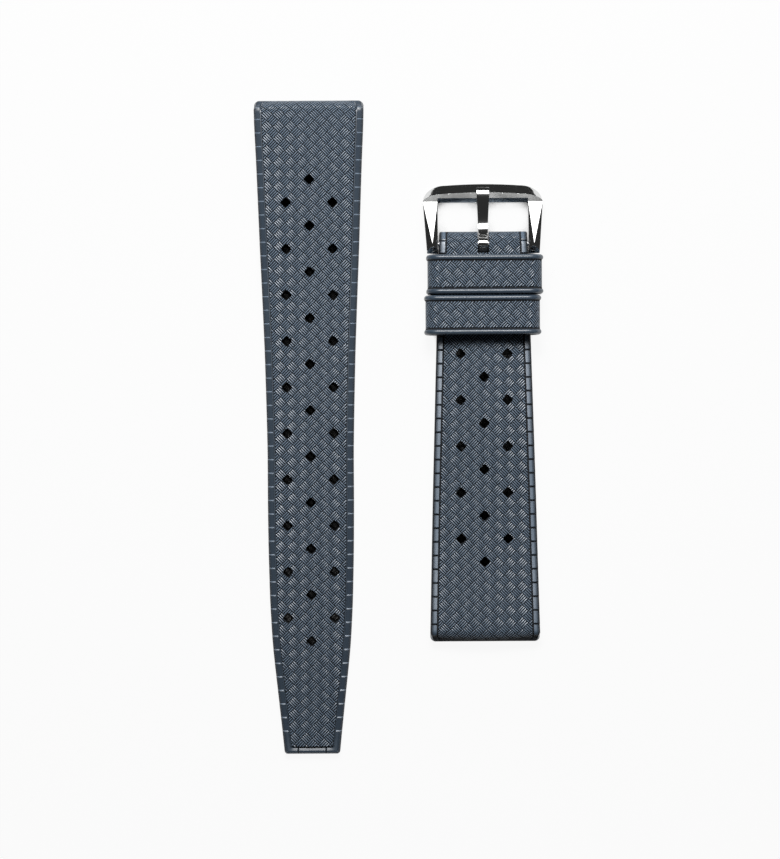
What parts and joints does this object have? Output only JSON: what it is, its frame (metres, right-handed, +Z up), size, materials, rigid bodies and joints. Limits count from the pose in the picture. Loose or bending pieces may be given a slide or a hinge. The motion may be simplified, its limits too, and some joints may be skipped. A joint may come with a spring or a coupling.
{
  "type": "watch strap",
  "caption": "Flat-laid two-piece rubber dive watch strap with tapering halves, rows of diamond holes, moulded edges, free keepers and a steel tang buckle on a sprung bar.",
  "frame": {"origin": "middle of the footprint of both halves laid flat side by side, on the surface they lie on", "axes": "+Z up, +Y along the straps: the long half's lug end and the short half's buckle point to +Y"},
  "size_m": [0.0524, 0.119, 0.0081],
  "materials": {
    "strap_rubber": "matte slate-blue rubber with a moulded basket weave",
    "keeper_rubber": "matte slate-blue rubber with a moulded basket weave",
    "polished_steel": "mirror-polished stainless steel",
    "spring_bar_steel": "drawn stainless steel, as turned"
  },
  "bodies": {
    "short_half": {"short_strap": "strap_rubber", "spring_bar_tube": "spring_bar_steel", "spring_bar_spring": "spring_bar_steel"},
    "long_half": {"long_strap": "strap_rubber"},
    "buckle": {"buckle_frame": "polished_steel"},
    "tang": {"buckle_tang": "polished_steel"},
    "upper_keeper": {"upper_keeper": "keeper_rubber"},
    "lower_keeper": {"lower_keeper": "keeper_rubber"},
    "left_pin": {"spring_bar_pin_left": "spring_bar_steel"},
    "right_pin": {"spring_bar_pin_right": "spring_bar_steel"}
  },
  "joints": [
    {"name": "long_half_lift", "type": "slide", "parent": "short_half", "child": "long_half", "axis": [0, 0, 1], "range_m": [0, 0.03]},
    {"name": "buckle_swing", "type": "hinge", "parent": "short_half", "child": "buckle", "pos_m": [0.01535, 0.03318, 0.00357], "axis": [1, 0, 0], "range_deg": [-75, 25]},
    {"name": "tang_swing", "type": "hinge", "parent": "buckle", "child": "tang", "pos_m": [0.01535, 0.03318, 0.00357], "axis": [1, 0, 0], "range_deg": [0, 85]},
    {"name": "lower_keeper_slide", "type": "slide", "parent": "short_half", "child": "lower_keeper", "axis": [0, -1, 0], "range_m": [0, 0.015]},
    {"name": "upper_keeper_slide", "type": "slide", "parent": "short_half", "child": "upper_keeper", "axis": [0, -1, 0], "range_m": [0, 0.0075]},
    {"name": "left_pin_press", "type": "slide", "parent": "short_half", "child": "left_pin", "axis": [1, 0, 0], "range_m": [0, 0.001], "stiffness_N_per_m": 2000, "deforming": ["spring_bar_spring"]},
    {"name": "right_pin_press", "type": "slide", "parent": "short_half", "child": "right_pin", "axis": [-1, 0, 0], "range_m": [0, 0.001], "stiffness_N_per_m": 2000, "deforming": ["spring_bar_spring"]}
  ],
  "couplings": [
    {"joint": "upper_keeper_slide", "follows": "lower_keeper_slide", "ratio": 0.5}
  ]
}
